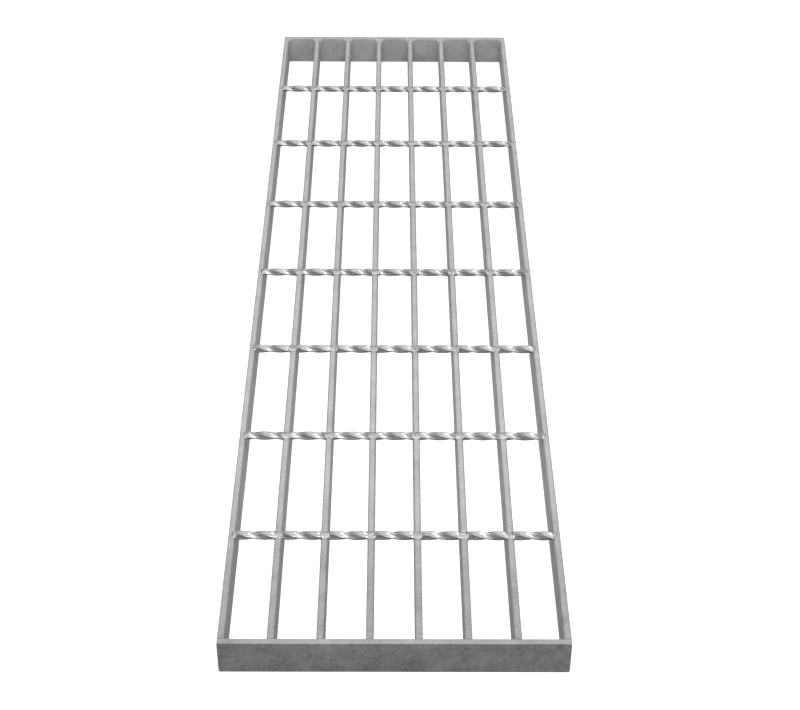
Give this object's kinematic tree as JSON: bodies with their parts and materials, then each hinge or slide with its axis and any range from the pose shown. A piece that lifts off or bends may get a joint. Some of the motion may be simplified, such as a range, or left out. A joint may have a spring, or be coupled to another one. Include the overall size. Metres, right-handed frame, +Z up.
{
  "type": "steel grating",
  "caption": "Galvanised welded bar grating panel: flat bars on edge, twisted square cross rods forged into their tops, and a flat end band across each end.",
  "frame": {"origin": "middle of the underside, on the surface that the panel lies on", "axes": "+Y along the bearing bars from the front end to the rear end, +X across the panel to the right as seen from the front, +Z up through the depth of the bars"},
  "size_m": [0.2144, 0.8, 0.0274],
  "materials": {
    "galvanised_bar": "hot-dip galvanised, matt grey zinc with faint spangle",
    "galvanised_rod": "hot-dip galvanised, brighter and smoother over the twisted square",
    "galvanised_band": "hot-dip galvanised, matt grey zinc, slightly clouded",
    "weld_bead": "hot-dip galvanised weld bead, rounded and slightly rough"
  },
  "bodies": {
    "root": {"bearing_bar_1": "galvanised_bar", "bearing_bar_2": "galvanised_bar", "bearing_bar_3": "galvanised_bar", "bearing_bar_4": "galvanised_bar", "bearing_bar_5": "galvanised_bar", "bearing_bar_6": "galvanised_bar", "bearing_bar_7": "galvanised_bar", "bearing_bar_8": "galvanised_bar", "cross_rod_1": "galvanised_rod", "cross_rod_2": "galvanised_rod", "cross_rod_3": "galvanised_rod", "cross_rod_4": "galvanised_rod", "cross_rod_5": "galvanised_rod", "cross_rod_6": "galvanised_rod", "cross_rod_7": "galvanised_rod", "front_end_band": "galvanised_band", "rear_end_band": "galvanised_band", "front_weld_1": "weld_bead", "front_weld_2": "weld_bead", "front_weld_3": "weld_bead", "front_weld_4": "weld_bead", "front_weld_5": "weld_bead", "front_weld_6": "weld_bead", "front_weld_7": "weld_bead", "front_weld_8": "weld_bead", "rear_weld_1": "weld_bead", "rear_weld_2": "weld_bead", "rear_weld_3": "weld_bead", "rear_weld_4": "weld_bead", "rear_weld_5": "weld_bead", "rear_weld_6": "weld_bead", "rear_weld_7": "weld_bead", "rear_weld_8": "weld_bead"}
  },
  "joints": []
}
